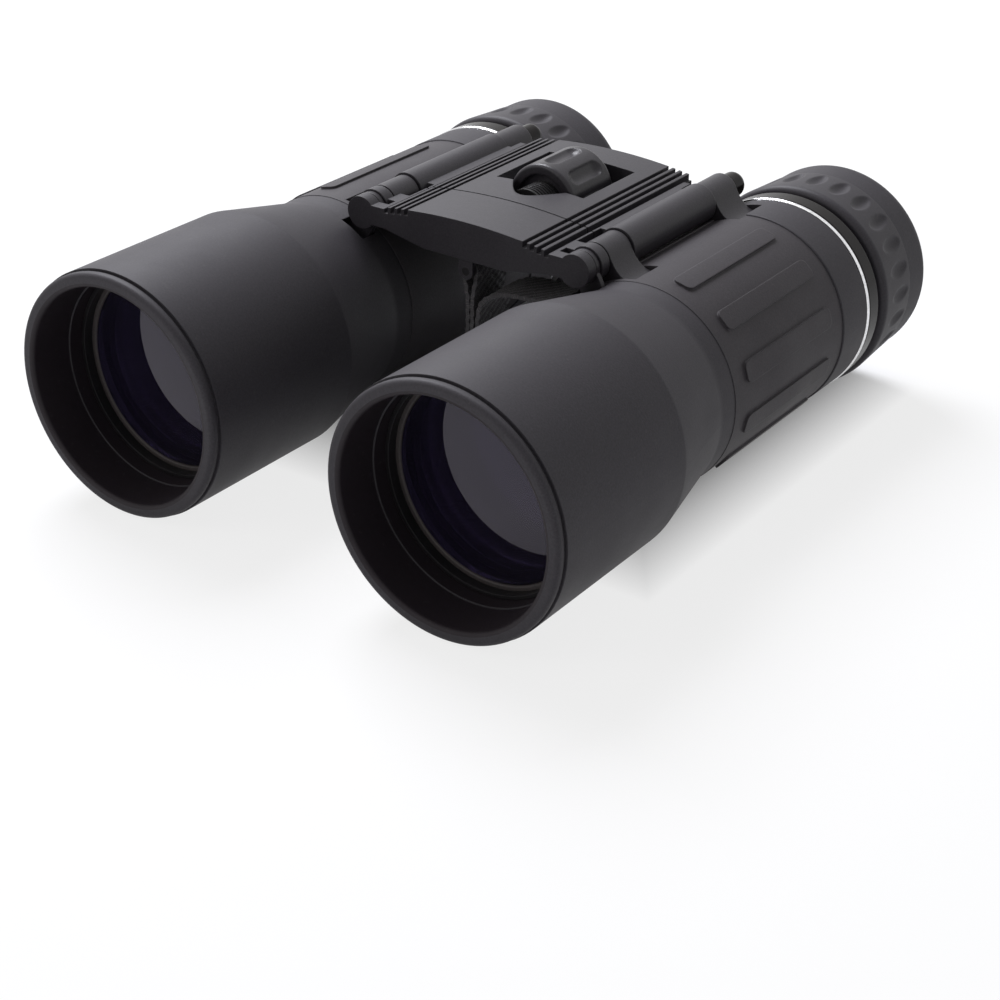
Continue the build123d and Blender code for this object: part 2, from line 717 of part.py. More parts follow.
def make_focus_arm():
    """A tongue on the cell, and a blade that rises from it to an eye round the hinge rod."""
    body = block(-arm_width / 2, arm_width / 2, foot_front, arm_end, tongue_inner, tongue_outer)
    body += block(-arm_blade_width / 2, arm_blade_width / 2, arm_front, arm_end, tongue_inner,
                  hinge_reach)
    body += rod(arm_eye_radius, arm_front, arm_end, 0, hinge_reach)
    body -= rod(rod_bore, arm_front, arm_end, 0, hinge_reach)
    for place in arm_screw_places:
        body -= radial_pin(arm_screw_radius, place, tongue_inner, tongue_outer)
    return facing(hinge_angle) * body


def make_arm_screws():
    screws = []
    for place in arm_screw_places:
        screw = radial_pin(arm_screw_radius, place, tongue_inner, cell_bore)
        screw += radial_pin(arm_screw_head_radius, place, tongue_inner - arm_screw_head_height,
                            tongue_inner)
        screws.append(facing(hinge_angle) * screw)
    return screws


# ------------------------------------------------------------------ eyepiece
def make_eyepiece_tube():
    """The keyed tube that carries the eyepiece's lenses."""
    light_bore = field_bore - field_ring_width
    seat_front = flange_front - eye_seat_lead
    eye_lens_front = tube_rear - eye_lens_thickness
    body = turned((field_bore, eyepiece_front), (eyepiece_radius, eyepiece_front),
                  (eyepiece_radius, flange_front), (flange_radius, flange_front),
                  (flange_radius, ring_step), (held_radius, ring_step), (held_radius, tube_rear),
                  (eye_bore, tube_rear), (eye_bore, eye_lens_front), (eye_seat, eye_lens_front),
                  (eye_seat, seat_front), (light_bore, seat_front), (light_bore, field_lens_end),
                  (field_bore, field_lens_end))
    key = block(-key_width / 2, key_width / 2, eyepiece_front, chassis_end - key_end_gap,
                -eyepiece_radius - key_height, -(eyepiece_radius + field_bore) / 2)
    return body + key


def make_eyepiece_lenses():
    field = lens(field_bore - running_fit, field_lens_front, field_lens_curve, field_lens_thickness,
                 0)
    eye = lens(eye_lens_radius, tube_rear - eye_lens_thickness, eye_lens_curve, eye_lens_thickness, 0)
    return [field, eye]


def make_field_lens_ring():
    inner = field_bore - field_ring_width
    return turned((inner, eyepiece_front), (field_bore, eyepiece_front),
                  (field_bore, field_lens_front), (inner, field_lens_front))


def make_eye_ring():
    """The bezel that holds the eye lens, and keeps the turning ring on the tube."""
    outer = pocket_radius - 2 * running_fit
    rear = tube_rear + eye_ring_length
    return turned((eye_opening_radius, tube_rear), (outer, tube_rear), (outer, rear),
                  (eye_opening_radius + eye_ring_length, rear))


def make_turning_ring():
    """The dimpled ring that turns on the eyepiece tube."""
    bore = flange_radius + running_fit
    held_bore = held_radius + running_fit
    body = turned((bore, skirt_front), (skirt_radius, skirt_front), (skirt_radius, ring_front),
                  (turning_ring_radius, ring_front, ring_front_round),
                  (ring_rear_radius, ring_end, ring_rear_round), (spigot_outer, ring_end),
                  (spigot_outer, cup_floor), (pocket_radius, cup_floor), (pocket_radius, tube_rear),
                  (held_bore, tube_rear), (held_bore, ring_step + running_fit),
                  (bore, ring_step + running_fit))
    across = chord_radius(dimple_width, dimple_depth)
    along = chord_radius(dimple_length, dimple_depth)
    half = sqrt(along ** 2 - (along - across) ** 2)
    arc = ThreePointArc((0, -half), (across, 0), (0, half))
    dimple = revolve(make_face([arc, Line((0, half), (0, -half))]), Axis.Y)
    surface = turning_ring_radius - ring_taper * dimple_setback
    place = Pos(0, ring_front + dimple_setback, surface + across - dimple_depth)
    tilt = Rot(-degrees(atan2(ring_taper, 1)), 0, 0)
    for index in range(dimple_count):
        body -= facing(index * 360 / dimple_count) * place * tilt * dimple
    return body


def make_eyecup():
    throat_end = cup_floor + cup_throat_length
    return turned((spigot_outer, ring_end), (eyecup_radius, ring_end, ring_rear_round),
                  (eyecup_radius, total_length, cup_edge_round),
                  (cup_mouth_radius, total_length, cup_mouth_round), (cup_throat_radius, throat_end),
                  (cup_throat_radius, cup_floor), (spigot_outer, cup_floor))


# ------------------------------------------------------------------ assembly
bridge_nodes = {
    "main_bridge": make_main_bridge,
    "friction_washer": make_friction_washer,
    "front_bridge": make_front_bridge,
    "hinge_rods": make_hinge_rods,
    "focus_nut": make_focus_nut,
    "strap_bar": make_strap_bar,
    "strap_loop": make_strap_loop,
    "focus_wheel": make_focus_wheel,
    "focus_screw": make_focus_screw,
}
barrel_nodes = {
    "objective_housing": make_objective_housing,
    "barrel_chassis": make_barrel_chassis,
    "grip_sleeve": make_grip_sleeve,
    "rear_collar": make_rear_collar,
    "trim_ring": make_trim_ring,
    "clamp_ring": make_clamp_ring,
    "hinge_cap": make_hinge_cap,
    "prism_cage": make_prism_cage,
    "prisms": make_prisms,
    "objective_cell": make_objective_cell,
    "lens_ring": make_lens_ring,
    "objective_lens": make_objective_lens,
    "focus_arm": make_focus_arm,
    "arm_screws": make_arm_screws,
    "eyepiece_tube": make_eyepiece_tube,
    "eyepiece_lenses": make_eyepiece_lenses,
    "field_lens_ring": make_field_lens_ring,
    "eye_ring": make_eye_ring,
    "turning_ring": make_turning_ring,
    "eyecup": make_eyecup,
}

to_origin = Pos(0, -total_length / 2, bell_radius)
to_left = Pos(half_spacing, 0, 0)


def write_node(name, shape):
    """Writes one node as parts/NAME.step."""
    if isinstance(shape, list):
        shape = Compound(children=[to_origin * solid for solid in shape])
    else:
        shape = to_origin * shape
    shape.label = name
    export_step(shape, f"parts/{name}.step")


os.makedirs("parts", exist_ok=True)
for name, make in bridge_nodes.items():
    write_node(name, make())
for name, make in barrel_nodes.items():
    made = make()
    pieces = [to_left * piece for piece in (made if isinstance(made, list) else [made])]
    mirrored = [mirror(piece, about=Plane.YZ) for piece in pieces]
    write_node(f"{name}_left", pieces if isinstance(made, list) else pieces[0])
    write_node(f"{name}_right", mirrored if isinstance(made, list) else mirrored[0])
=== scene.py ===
import json
from bisect import bisect
from math import atan2, cos, hypot, pi, radians, sin, sqrt

import bmesh
import bpy
from mathutils import Matrix, Vector


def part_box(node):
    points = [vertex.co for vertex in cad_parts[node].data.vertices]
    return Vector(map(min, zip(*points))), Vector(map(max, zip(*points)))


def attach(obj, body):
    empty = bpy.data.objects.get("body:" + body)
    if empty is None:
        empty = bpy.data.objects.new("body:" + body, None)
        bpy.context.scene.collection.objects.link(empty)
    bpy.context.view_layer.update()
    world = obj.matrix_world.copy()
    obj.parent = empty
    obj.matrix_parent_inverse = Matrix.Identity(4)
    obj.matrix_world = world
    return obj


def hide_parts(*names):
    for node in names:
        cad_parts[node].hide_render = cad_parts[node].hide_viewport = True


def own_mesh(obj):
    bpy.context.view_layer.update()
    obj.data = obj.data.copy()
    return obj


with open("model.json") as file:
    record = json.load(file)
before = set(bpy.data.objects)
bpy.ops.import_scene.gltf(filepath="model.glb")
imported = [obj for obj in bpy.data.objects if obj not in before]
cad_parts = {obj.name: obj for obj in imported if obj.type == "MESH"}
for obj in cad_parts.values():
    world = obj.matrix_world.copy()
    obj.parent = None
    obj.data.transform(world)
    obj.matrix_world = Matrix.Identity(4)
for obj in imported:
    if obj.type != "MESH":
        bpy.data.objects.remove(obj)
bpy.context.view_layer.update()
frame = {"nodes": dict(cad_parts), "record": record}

# Binoculars. X across, Y from the objectives to the eyecups, Z up, in metres.
# The shapes below are worked out in millimetres, round an axis along Y, and scaled at the end.
mm = 0.001
nodes = frame["nodes"]
slotOfNode = {part["node"]: part["material_slot"] for part in frame["record"]["subparts"]}


def boxInMillimetres(node):
    low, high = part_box(node)
    return low / mm, high / mm


bellLow, bellHigh = boxInMillimetres("objective_housing_left")
barrelX = (bellLow.x + bellHigh.x) / 2
axisZ = (bellLow.z + bellHigh.z) / 2
sides = {"left": barrelX, "right": -barrelX}

camera = {
    "place": (0.21163, -0.30494, 0.18679),
    "turn": (61.34, -0.81, 35.31),      # degrees
    "lens": 73.78,
    "sensor": 36,
    "nearest": 0.01,
}
studio = {
    "fill": (1.0, 1.0, 1.03),
    "fillStrength": 0.22,
    "seen": (1.0, 1.0, 1.0),            # what the camera, glass and gloss see round the object
    "seenStrength": 1.0,
    "top": {"place": (-0.45, 0.2, 0.65), "aim": (0, 0, 0.03), "size": 0.45, "power": 9.5,
            "color": (0.93, 0.94, 1.0)},
    "front": {"place": (-0.35, -0.7, 0.45), "aim": (0, 0, 0.03), "size": 0.4, "power": 1.0,
              "color": (1.0, 0.97, 0.96)},
}
paper = {
    "color": (0.95, 0.95, 0.95),
    "fibre": 0.004,                     # size of its faint cloudiness
    "fibreDip": 0.99,                   # how much darker that gets
    "rough": 0.9,
    "size": 4,
    "drop": 0.0002,                     # below the object, so that nothing flickers
    "glow": 0.8,                        # how white it is seen away from the object
    "shadeMiddle": (0, 0.045, 0),       # under the bridge the paper keeps its full shadow
    "shadeSize": (0.045, 0.065, 1),     # half its width and length
    "shadeEdge": (0.8, 1.3),            # where that shadow starts and stops fading, in half sizes
}


def aimAt(thing, place, target):
    thing.location = place
    thing.rotation_euler = (Vector(place) - Vector(target)).to_track_quat("Z", "Y").to_euler()


def makeCamera():
    data = bpy.data.cameras.new("Camera")
    data.lens = camera["lens"]
    data.sensor_width = camera["sensor"]
    data.clip_start = camera["nearest"]
    thing = bpy.data.objects.new("Camera", data)
    thing.location = camera["place"]
    thing.rotation_euler = [radians(angle) for angle in camera["turn"]]
    bpy.context.scene.collection.objects.link(thing)
    bpy.context.scene.camera = thing


def makeLamp(name, spec):
    data = bpy.data.lights.new(name, "AREA")
    data.shape = "SQUARE"
    data.size = spec["size"]
    data.color = spec["color"]
    data.energy = spec["power"]
    thing = bpy.data.objects.new(name, data)
    bpy.context.scene.collection.objects.link(thing)
    aimAt(thing, spec["place"], spec["aim"])


def addNode(tree, kind, inputs=None, **settings):
    node = tree.nodes.new(kind)
    for key, value in settings.items():
        setattr(node, key, value)
    for key, value in (inputs or {}).items():
        node.inputs[key].default_value = value
    return node


# a maths node between sockets or plain numbers
def addMath(tree, operation, first, second):
    node = addNode(tree, "ShaderNodeMath", operation=operation)
    for index, value in enumerate((first, second)):
        if isinstance(value, float):
            node.inputs[index].default_value = value
        else:
            tree.links.new(value, node.inputs[index])
    return node.outputs[0]


# noise with features about size across, in metres on the object
def addNoise(tree, size, detail=3.0, rough=0.55):
    place = addNode(tree, "ShaderNodeTexCoord")
    noise = addNode(tree, "ShaderNodeTexNoise",
                    {"Scale": 1 / size, "Detail": detail, "Roughness": rough})
    tree.links.new(place.outputs["Object"], noise.inputs["Vector"])
    return noise.outputs[0]


# the defaults take in the middle of a noise, where most of it lies
def addRange(tree, source, low, high, fromLow=0.3, fromHigh=0.7):
    span = addNode(tree, "ShaderNodeMapRange",
                   {"From Min": fromLow, "From Max": fromHigh, "To Min": low, "To Max": high})
    tree.links.new(source, span.inputs["Value"])
    return span.outputs["Result"]


def addMix(tree, share, first, second):
    mix = addNode(tree, "ShaderNodeMix", data_type="RGBA")
    if isinstance(share, float):
        mix.inputs[0].default_value = share
    else:
        tree.links.new(share, mix.inputs[0])
    for socket, color in ((mix.inputs[6], first), (mix.inputs[7], second)):
        if isinstance(color, tuple):
            socket.default_value = (*color, 1)
        else:
            tree.links.new(color, socket)
    return mix.outputs[2]


# 1 for the rays of the camera, of gloss and of glass, and 0 for those that only carry light
def seenDirectly(tree):
    path = tree.nodes.new("ShaderNodeLightPath")
    plain = addMath(tree, "MAXIMUM", path.outputs["Is Camera Ray"], path.outputs["Is Glossy Ray"])
    return addMath(tree, "MAXIMUM", plain, path.outputs["Is Transmission Ray"])


def makeWorld():
    world = bpy.data.worlds.new("Studio")
    world.use_nodes = True
    tree = world.node_tree
    fill = tree.nodes["Background"]
    fill.inputs["Color"].default_value = (*studio["fill"], 1)
    fill.inputs["Strength"].default_value = studio["fillStrength"]
    white = addNode(tree, "ShaderNodeBackground",
                    {"Color": (*studio["seen"], 1), "Strength": studio["seenStrength"]})
    mix = tree.nodes.new("ShaderNodeMixShader")
    tree.links.new(seenDirectly(tree), mix.inputs[0])
    tree.links.new(fill.outputs[0], mix.inputs[1])
    tree.links.new(white.outputs[0], mix.inputs[2])
    tree.links.new(mix.outputs[0], tree.nodes["World Output"].inputs["Surface"])
    bpy.context.scene.world = world


def newMaterial(name):
    material = bpy.data.materials.new(name)
    material.use_nodes = True
    tree = material.node_tree
    return material, tree, tree.nodes["Principled BSDF"]


# white paper that shines a little by itself, so that its shadows stay pale
def makePaper():
    material, tree, shader = newMaterial("paper")
    shader.inputs["Roughness"].default_value = paper["rough"]
    shader.inputs["Specular IOR Level"].default_value = 0.0
    fibre = addRange(tree, addNoise(tree, paper["fibre"]), 0, 1)
    dip = tuple(level * paper["fibreDip"] for level in paper["color"])
    tree.links.new(addMix(tree, fibre, paper["color"], dip), shader.inputs["Base Color"])
    glow = addNode(tree, "ShaderNodeEmission", {"Color": (1, 1, 1, 1), "Strength": 1.0})

    # how far off the middle of the shade, in half sizes, the longer way counting
    place = tree.nodes.new("ShaderNodeTexCoord")
    away = place.outputs["Object"]
    for operation, value in (("SUBTRACT", paper["shadeMiddle"]), ("ABSOLUTE", None),
                             ("DIVIDE", paper["shadeSize"])):
        node = addNode(tree, "ShaderNodeVectorMath", operation=operation)
        tree.links.new(away, node.inputs[0])
        if value:
            node.inputs[1].default_value = value
        away = node.outputs[0]
    parts = tree.nodes.new("ShaderNodeSeparateXYZ")
    tree.links.new(away, parts.inputs[0])
    further = addMath(tree, "MAXIMUM", parts.outputs[0], parts.outputs[1])
    clear = addRange(tree, further, 0, paper["glow"], *paper["shadeEdge"])
    mix = tree.nodes.new("ShaderNodeMixShader")
    tree.links.new(addMath(tree, "MULTIPLY", clear, seenDirectly(tree)), mix.inputs[0])
    tree.links.new(shader.outputs[0], mix.inputs[1])
    tree.links.new(glow.outputs[0], mix.inputs[2])
    tree.links.new(mix.outputs[0], tree.nodes["Material Output"].inputs["Surface"])
    return material


def newPiece(name, work, material, body=None, instead=()):
    mesh = bpy.data.meshes.new(name)
    work.normal_update()
    work.to_mesh(mesh)
    work.free()
    piece = bpy.data.objects.new(name, mesh)
    bpy.context.scene.collection.objects.link(piece)
    mesh.materials.append(material)
    if body:
        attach(piece, body)
    if instead:
        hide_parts(*instead)
    return piece


def makeFloor():
    work = bmesh.new()
    bmesh.ops.create_grid(work, x_segments=1, y_segments=1, size=paper["size"])
    bmesh.ops.translate(work, verts=work.verts, vec=(0, 0, -paper["drop"]))
    newPiece("Floor", work, makePaper())


# 1 on faces that look towards a barrel's axis, which are inside the hoods and tubes; it marks where
# shade is painted
def facesAxis(tree):
    place = tree.nodes.new("ShaderNodeTexCoord")
    where = tree.nodes.new("ShaderNodeSeparateXYZ")
    turn = tree.nodes.new("ShaderNodeSeparateXYZ")
    tree.links.new(place.outputs["Object"], where.inputs[0])
    tree.links.new(place.outputs["Normal"], turn.inputs[0])
    side = addMath(tree, "SIGN", where.outputs[0], 0.0)
    offX = addMath(tree, "SUBTRACT", where.outputs[0], addMath(tree, "MULTIPLY", side, barrelX * mm))
    offZ = addMath(tree, "SUBTRACT", where.outputs[2], axisZ * mm)
    outward = addMath(tree, "ADD", addMath(tree, "MULTIPLY", offX, turn.outputs[0]),
                      addMath(tree, "MULTIPLY", offZ, turn.outputs[2]))
    return addMath(tree, "LESS_THAN", outward, -mm)


wearAndHighlight = {
    "patchDetail": 4, "grainDetail": 2, "speckDetail": 1,
    "speckFrom": 0.66, "speckTo": 0.78,     # of the speck noise, between which dust comes in
    "edgeSamples": 6,
    "edgeFrom": 0.75, "edgeTo": 0.99,       # turn of the softened edge, from pale (rubbed wear and painted highlight) to untouched
}


# plastic, rubber, paint or metal: a fine grain, soft edges painted a little pale as rubbed wear and as
# painted highlight, and faint dust
def moulded(name, look):
    material, tree, shader = newMaterial(name)
    link = tree.links.new
    cloud = addNoise(tree, look["patch"], wearAndHighlight["patchDetail"])
    grain = addNoise(tree, look["grain"], wearAndHighlight["grainDetail"])
    speck = addNoise(tree, look["speck"], wearAndHighlight["speckDetail"])

    # pale edges, partly rubbed wear and partly painted highlight: where the softened normal leaves the
    # true one
    soft = addNode(tree, "ShaderNodeBevel", {"Radius": look["edge"]}, samples=wearAndHighlight["edgeSamples"])
    true = addNode(tree, "ShaderNodeNewGeometry")
    turn = addNode(tree, "ShaderNodeVectorMath", operation="DOT_PRODUCT")
    link(soft.outputs["Normal"], turn.inputs[0])
    link(true.outputs["Normal"], turn.inputs[1])
    edge = addRange(tree, turn.outputs["Value"], look["rubAndHighlight"], 0.0, wearAndHighlight["edgeFrom"], wearAndHighlight["edgeTo"])
    edgeWearAndHighlight = addMath(tree, "MULTIPLY", edge, cloud)

    tone = addMix(tree, addRange(tree, cloud, 0, 1), look["color"], look["color2"])
    pale, dark = (tuple(level * (1 + way * look["mottle"]) for level in look["color"])
                  for way in (1, -1))
    tone = addMix(tree, 0.5, tone, addMix(tree, addRange(tree, grain, 0, 1), dark, pale))
    # faces inside the hoods take a darker colour: painted shade where little light gets in
    if "inside" in look:
        tone = addMix(tree, facesAxis(tree), tone, look["inside"])
    dust = addRange(tree, speck, 0, look["dust"], wearAndHighlight["speckFrom"], wearAndHighlight["speckTo"])
    dusty = addMix(tree, dust, tone, look["dustColor"])
    # mixes in the pale edges: rubbed wear and painted highlight
    link(addMix(tree, edgeWearAndHighlight, dusty, look["edgeWearAndHighlightColor"]), shader.inputs["Base Color"])
    link(addRange(tree, cloud, *look["rough"]), shader.inputs["Roughness"])
    bump = addNode(tree, "ShaderNodeBump", {"Strength": look["bump"], "Distance": look["depth"]})
    link(grain, bump.inputs["Height"])
    link(soft.outputs["Normal"], bump.inputs["Normal"])
    link(bump.outputs["Normal"], shader.inputs["Normal"])
    shader.inputs["Metallic"].default_value = look["metal"]
    shader.inputs["IOR"].default_value = look["ior"]
    return material


black = {
    "color": (0.031, 0.028, 0.033), "color2": (0.038, 0.035, 0.040), "mottle": 0.35,
    "patch": 0.012, "grain": 0.00034, "speck": 0.0009,  # sizes of the cloudiness, grain and dust
    # the pale edge colour stands for rubbed wear and for painted highlight along the edges
    "edge": 0.0003, "rubAndHighlight": 0.5, "edgeWearAndHighlightColor": (0.05, 0.048, 0.052),
    "dust": 0.06, "dustColor": (0.16, 0.15, 0.15),
    "rough": (0.55, 0.63), "bump": 0.6, "depth": 0.00004, "ior": 1.33, "metal": 0.0,
}
looks = {
    # the inside colour is painted shade inside the hoods
    "housing_plastic": {**black, "inside": (0.014, 0.010, 0.013)},
    "chassis_plastic": {**black, "rough": (0.36, 0.44)},
    "inner_plastic": {**black, "color": (0.008, 0.008, 0.008), "color2": (0.010, 0.010, 0.010),
                      "rough": (0.6, 0.7)},
    # on the rubber the pale edges are mostly painted highlight, the bright lines along the edges of its
    # bars
    "grip_rubber": {**black, "color": (0.034, 0.030, 0.034), "color2": (0.041, 0.037, 0.041),
                    "rough": (0.54, 0.64), "bump": 0.7, "rubAndHighlight": 0.9,
                    "edgeWearAndHighlightColor": (0.085, 0.08, 0.085)},
    "cup_rubber": {**black, "rough": (0.56, 0.64), "bump": 0.5},
    "ring_rubber": {**black, "rough": (0.50, 0.58), "bump": 0.5, "edge": 0.0001},
    "bridge_metal": {**black, "rough": (0.42, 0.50), "edge": 0.00025, "rubAndHighlight": 0.8},
    "wheel_plastic": {**black, "rough": (0.26, 0.34), "edge": 0.0006},
    "gloss_black": {**black, "color": (0.008, 0.006, 0.006), "color2": (0.011, 0.009, 0.008),
                    "rough": (0.16, 0.22), "bump": 0.1, "grain": 0.0006, "ior": 1.22},
    "silver_trim": {**black, "color": (0.75, 0.75, 0.77), "color2": (0.82, 0.82, 0.83), "metal": 1.0,
                    "edgeWearAndHighlightColor": (0.9, 0.9, 0.9), "rough": (0.14, 0.22), "bump": 0.1},
    "steel": {**black, "color": (0.46, 0.46, 0.47), "color2": (0.56, 0.56, 0.56), "metal": 1.0,
              "edgeWearAndHighlightColor": (0.7, 0.7, 0.7), "rough": (0.24, 0.36), "bump": 0.15},
    "blackened_steel": {**black, "color": (0.02, 0.019, 0.02), "color2": (0.03, 0.028, 0.03),
                        "rough": (0.22, 0.32), "edge": 0.0002},
    "arm_steel": {**black, "rough": (0.34, 0.44)},
    "brass": {**black, "color": (0.62, 0.46, 0.2), "color2": (0.7, 0.54, 0.26), "metal": 1.0,
              "edgeWearAndHighlightColor": (0.8, 0.66, 0.4), "rough": (0.3, 0.4), "bump": 0.15},
    "nylon": {**black, "color": (0.6, 0.59, 0.55), "color2": (0.7, 0.69, 0.65), "rough": (0.4, 0.5),
              "edgeWearAndHighlightColor": (0.75, 0.74, 0.7)},
    "cell_black": {**black, "color": (0.012, 0.011, 0.012), "color2": (0.016, 0.015, 0.016),
                   "rough": (0.32, 0.42), "edge": 0.00015, "rubAndHighlight": 1.0},
    "satin_ring": {**black, "color": (0.045, 0.038, 0.037), "color2": (0.055, 0.047, 0.046),
                   "rough": (0.50, 0.60), "ior": 1.4, "edge": 0.0001},
    "thread": {**black, "color": (0.05, 0.048, 0.05), "color2": (0.07, 0.067, 0.07), "edge": 0.00005},
}
finishOfNode = {"focus_screw": "blackened_steel", "strap_bar": "blackened_steel"}

webbingLook = {
    "color": (0.010, 0.009, 0.010), "color2": (0.05, 0.046, 0.05), "rough": (0.55, 0.75),
    "paintedGlint": (0.35, 0.32, 0.33), "paintedGlintFrom": 0.62, "paintedGlintTo": 0.68,
    "yarn": (3.0, 12.0, 1.0),           # streaks along and across one rib
    "detail": 2.0, "bump": 0.6, "depth": 0.00008, "sheen": 0.15,
}


# black webbing: yarn on the piece's own weave map, with a few pale flecks that are painted glints on
# the yarn
def woven(name, look):
    material, tree, shader = newMaterial(name)
    link = tree.links.new
    weaveMap = addNode(tree, "ShaderNodeUVMap", uv_map="weave")
    yarn = addNode(tree, "ShaderNodeMapping", {"Scale": look["yarn"]})
    link(weaveMap.outputs[0], yarn.inputs["Vector"])
    noise = addNode(tree, "ShaderNodeTexNoise", {"Scale": 1.0, "Detail": look["detail"]})
    link(yarn.outputs[0], noise.inputs["Vector"])
    strands = noise.outputs[0]
    tone = addMix(tree, addRange(tree, strands, 0, 1), look["color"], look["color2"])
    # pale flecks where the yarn noise is high: painted glints
    paintedGlint = addRange(tree, strands, 0, 1, look["paintedGlintFrom"], look["paintedGlintTo"])
    link(addMix(tree, paintedGlint, tone, look["paintedGlint"]), shader.inputs["Base Color"])
    link(addRange(tree, strands, *look["rough"]), shader.inputs["Roughness"])
    bump = addNode(tree, "ShaderNodeBump", {"Strength": look["bump"], "Distance": look["depth"]})
    link(strands, bump.inputs["Height"])
    link(bump.outputs["Normal"], shader.inputs["Normal"])
    shader.inputs["Sheen Weight"].default_value = look["sheen"]
    return material


glass = {"patch": 0.01, "patchDetail": 2, "speck": 0.0012, "speckFrom": 0.72, "speckTo": 0.8}
glasses = {
    # the lens glass is tinted dark violet: painted shade of the dark barrel behind it, and the painted
    # violet of its coating's reflection
    "coated_glass": {"color": (0.08, 0.062, 0.15), "color2": (0.065, 0.05, 0.13), "rough": (0.0, 0.015),
                     "clear": 0.9, "ior": 1.5, "coating": (0.84, 0.79, 0.90)},
    "prism_glass": {"color": (0.96, 0.98, 0.97), "color2": (0.94, 0.97, 0.96), "rough": (0.0, 0.08),
                    "clear": 1.0, "ior": 1.57, "coating": (1.0, 1.0, 1.0)},
}


# optical glass: a tint that drifts over the face, and dull specks of dust
def glassy(name, look):
    material, tree, shader = newMaterial(name)
    cloud = addNoise(tree, glass["patch"], glass["patchDetail"])
    speck = addNoise(tree, glass["speck"], 0)
    tree.links.new(addMix(tree, addRange(tree, cloud, 0, 1), look["color"], look["color2"]),
                   shader.inputs["Base Color"])
    tree.links.new(addRange(tree, speck, *look["rough"], glass["speckFrom"], glass["speckTo"]),
                   shader.inputs["Roughness"])
    shader.inputs["Transmission Weight"].default_value = look["clear"]
    shader.inputs["IOR"].default_value = look["ior"]
    shader.inputs["Specular Tint"].default_value = (*look["coating"], 1)
    return material


roundSteps = 6                          # of each rounded corner
outerBand = 1                           # depth below the largest radius that counts as outside


# turns a closed outline of (radius, y, round) corners; fineRows divides its longest outer line
def lathe(outline, steps, fineRows=0):
    work = bmesh.new()
    corners = [work.verts.new((radius, y, 0)) for radius, y, bend in outline]
    for first, second in zip(corners, corners[1:] + corners[:1]):
        work.edges.new((first, second))
    for corner, (radius, y, bend) in zip(corners, outline):
        if bend:
            bmesh.ops.bevel(work, geom=[corner], offset=bend, offset_type="OFFSET",
                            segments=roundSteps, profile=0.5, affect="VERTICES", material=-1)
    if fineRows:
        outer = max(vert.co.x for vert in work.verts) - outerBand
        lines = [edge for edge in work.edges if min(vert.co.x for vert in edge.verts) > outer]
        longest = max(lines, key=lambda edge: edge.calc_length())
        bmesh.ops.subdivide_edges(work, edges=[longest], cuts=fineRows)
    bmesh.ops.spin(work, geom=work.verts[:] + work.edges[:], cent=(0, 0, 0), axis=(0, 1, 0),
                   dvec=(0, 0, 0), angle=2 * pi, steps=steps, use_merge=True)
    return work


def toBarrel(work, side):
    bmesh.ops.translate(work, verts=work.verts, vec=(sides[side], 0, axisZ))
    bmesh.ops.scale(work, verts=work.verts, vec=(mm, mm, mm))


doubles = 1e-7                          # points closer than this are one


# faces outwards and smooth, with only the edges over the sharp angle hard
def smoothPiece(work, sharp=40):
    bmesh.ops.remove_doubles(work, verts=work.verts, dist=doubles)
    bmesh.ops.recalc_face_normals(work, faces=work.faces)
    for face in work.faces:
        face.smooth = True
    for edge in work.edges:
        edge.smooth = edge.calc_face_angle(0) < radians(sharp)


dimpledRing = {
    "length": 12.7, "frontRadius": 21.4, "rearRadius": 20.7, "frontRound": 1.5, "rearRound": 0.15,
    "skirtRadius": 19.4, "bore": 18.5, "step": 5.4, "heldBore": 17.65, "pocketRadius": 18.7,
    "spigotRadius": 19.2, "rimLead": 2.3,
    "dimples": 25, "dimpleLength": 8.0, "dimpleWidth": 3.4, "dimpleDepth": 0.75, "setback": 7.8,
    "soft": 0.08,                       # over which a dimple's rim runs out
    "biteReach": 4.8, "skirtClear": 0.5,    # a bite touches nothing past these
    "steps": 600, "rows": 44,
}


def chordRadius(chord, depth):
    return (chord ** 2 / 4 + depth ** 2) / (2 * depth)


# 0 well outside, depth well inside, and a smooth bend between them
def runOut(depth, soft):
    if depth <= -soft:
        return 0.0
    return depth if depth >= soft else (depth + soft) ** 2 / (4 * soft)


